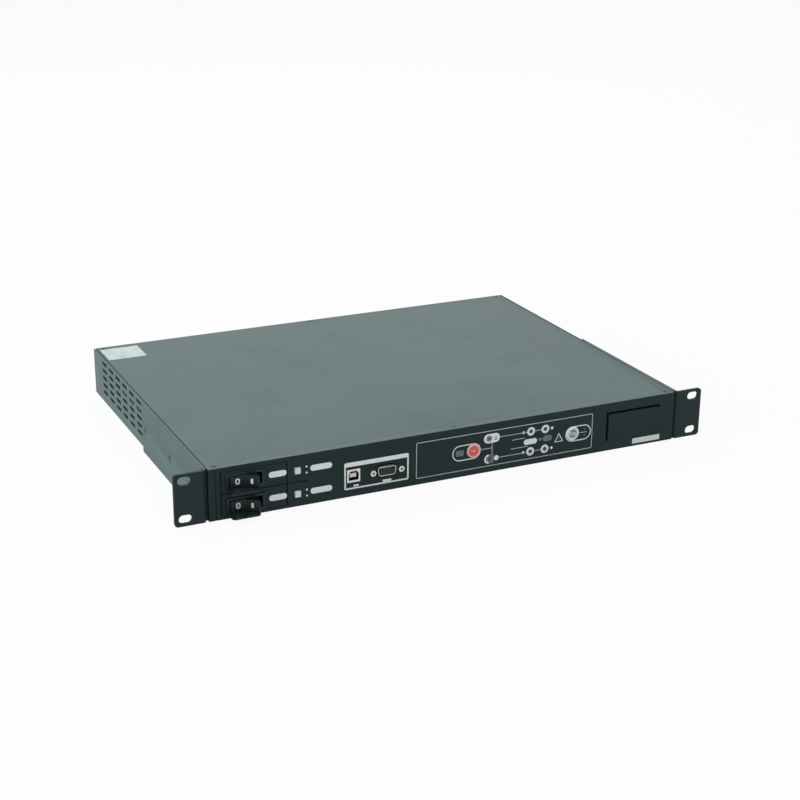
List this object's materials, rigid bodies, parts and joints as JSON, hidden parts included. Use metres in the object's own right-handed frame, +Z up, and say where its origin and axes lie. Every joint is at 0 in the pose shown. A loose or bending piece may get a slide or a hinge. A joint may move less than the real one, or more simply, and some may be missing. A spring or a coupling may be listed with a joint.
{
  "type": "rack static transfer switch",
  "caption": "Low rack-mounted transfer switch: flat sheet-steel case with slotted ears, rocker breakers, ports and a flow diagram in front, sockets behind.",
  "frame": {"origin": "centre of the pattern of four rack slots, on the front face of the ears", "axes": "+X to the right seen from the front, +Y to the rear along the depth of the case, +Z up"},
  "size_m": [0.4826, 0.3458, 0.0436],
  "materials": {
    "case_paint": "fine satin powder coat",
    "front_paint": "fine satin powder coat",
    "screw_black": "blackened steel",
    "zinc": "bright zinc plate",
    "black_moulding": "moulded, lightly grained",
    "white_moulding": "smooth",
    "red_moulding": "smooth, translucent",
    "lamp_lens": "diffused lens",
    "circuit_board": "solder-masked glass fibre",
    "extrusion": "plain extruded",
    "copper_bar": "plain copper",
    "contact_brass": "plated contact",
    "winding": "varnished laminations and winding",
    "film_box": "boxed film capacitor",
    "relay_case": "moulded relay case"
  },
  "bodies": {
    "case": {"base_tray": "case_paint", "top_cover": "case_paint", "front_panel": "front_paint", "rear_panel": "case_paint", "rack_ear_left": "front_paint", "rack_ear_right": "front_paint", "ear_screws": "screw_black", "cover_screws": "screw_black", "breaker_plate_upper": "front_paint", "breaker_plate_lower": "front_paint", "breaker_body_upper": "black_moulding", "breaker_body_lower": "black_moulding", "breaker_tabs": "contact_brass", "select_switch_upper": "black_moulding", "select_switch_lower": "black_moulding", "select_board": "circuit_board", "usb_shell": "zinc", "usb_insert": "white_moulding", "serial_shell": "zinc", "serial_insert": "black_moulding", "serial_posts": "zinc", "mimic_board": "circuit_board", "status_lamps": "lamp_lens", "red_button_switch": "black_moulding", "white_button_switch": "black_moulding", "card_slot_cover": "front_paint", "card_slot_screws": "zinc", "power_board": "circuit_board", "control_board": "circuit_board", "board_pillars": "zinc", "board_screws": "zinc", "heat_sink": "extrusion", "thyristor_1": "black_moulding", "thyristor_2": "black_moulding", "thyristor_3": "black_moulding", "thyristor_4": "black_moulding", "relay_1": "relay_case", "relay_2": "relay_case", "current_sensors": "relay_case", "supply_transformer": "winding", "filter_capacitors": "film_box", "power_bars": "copper_bar", "inlet_1": "black_moulding", "inlet_2": "black_moulding", "inlet_pins": "contact_brass", "main_outlet": "black_moulding", "outlet_bank_1": "black_moulding", "outlet_bank_2": "black_moulding", "fan_frame": "black_moulding", "earth_stud": "zinc", "rear_screws": "zinc"},
    "upper_rocker": {"breaker_rocker_upper": "black_moulding"},
    "lower_rocker": {"breaker_rocker_lower": "black_moulding"},
    "upper_select": {"select_button_upper": "white_moulding"},
    "lower_select": {"select_button_lower": "white_moulding"},
    "red_key": {"red_button": "red_moulding"},
    "white_key": {"white_button": "white_moulding"},
    "fan_wheel": {"fan_rotor": "black_moulding"}
  },
  "joints": [
    {"name": "upper_rocker_swing", "type": "hinge", "parent": "case", "child": "upper_rocker", "pos_m": [-0.18315, 0.0009, 0.0088], "axis": [0, 0, 1], "range_deg": [0, 41]},
    {"name": "lower_rocker_swing", "type": "hinge", "parent": "case", "child": "lower_rocker", "pos_m": [-0.18315, 0.0009, -0.0116], "axis": [0, 0, 1], "range_deg": [0, 41]},
    {"name": "upper_select_press", "type": "slide", "parent": "case", "child": "upper_select", "axis": [0, 1, 0], "range_m": [0, 0.001], "stiffness_N_per_m": 400, "springref_m": -0.0005},
    {"name": "lower_select_press", "type": "slide", "parent": "case", "child": "lower_select", "axis": [0, 1, 0], "range_m": [0, 0.001], "stiffness_N_per_m": 400, "springref_m": -0.0005},
    {"name": "red_button_press", "type": "slide", "parent": "case", "child": "red_key", "axis": [0, 1, 0], "range_m": [0, 0.001], "stiffness_N_per_m": 500, "springref_m": -0.0005},
    {"name": "white_button_press", "type": "slide", "parent": "case", "child": "white_key", "axis": [0, 1, 0], "range_m": [0, 0.001], "stiffness_N_per_m": 500, "springref_m": -0.0005},
    {"name": "fan_spin", "type": "hinge", "parent": "case", "child": "fan_wheel", "pos_m": [-0.098, 0.218, -0.00042], "axis": [1, 0, 0], "continuous": true}
  ]
}
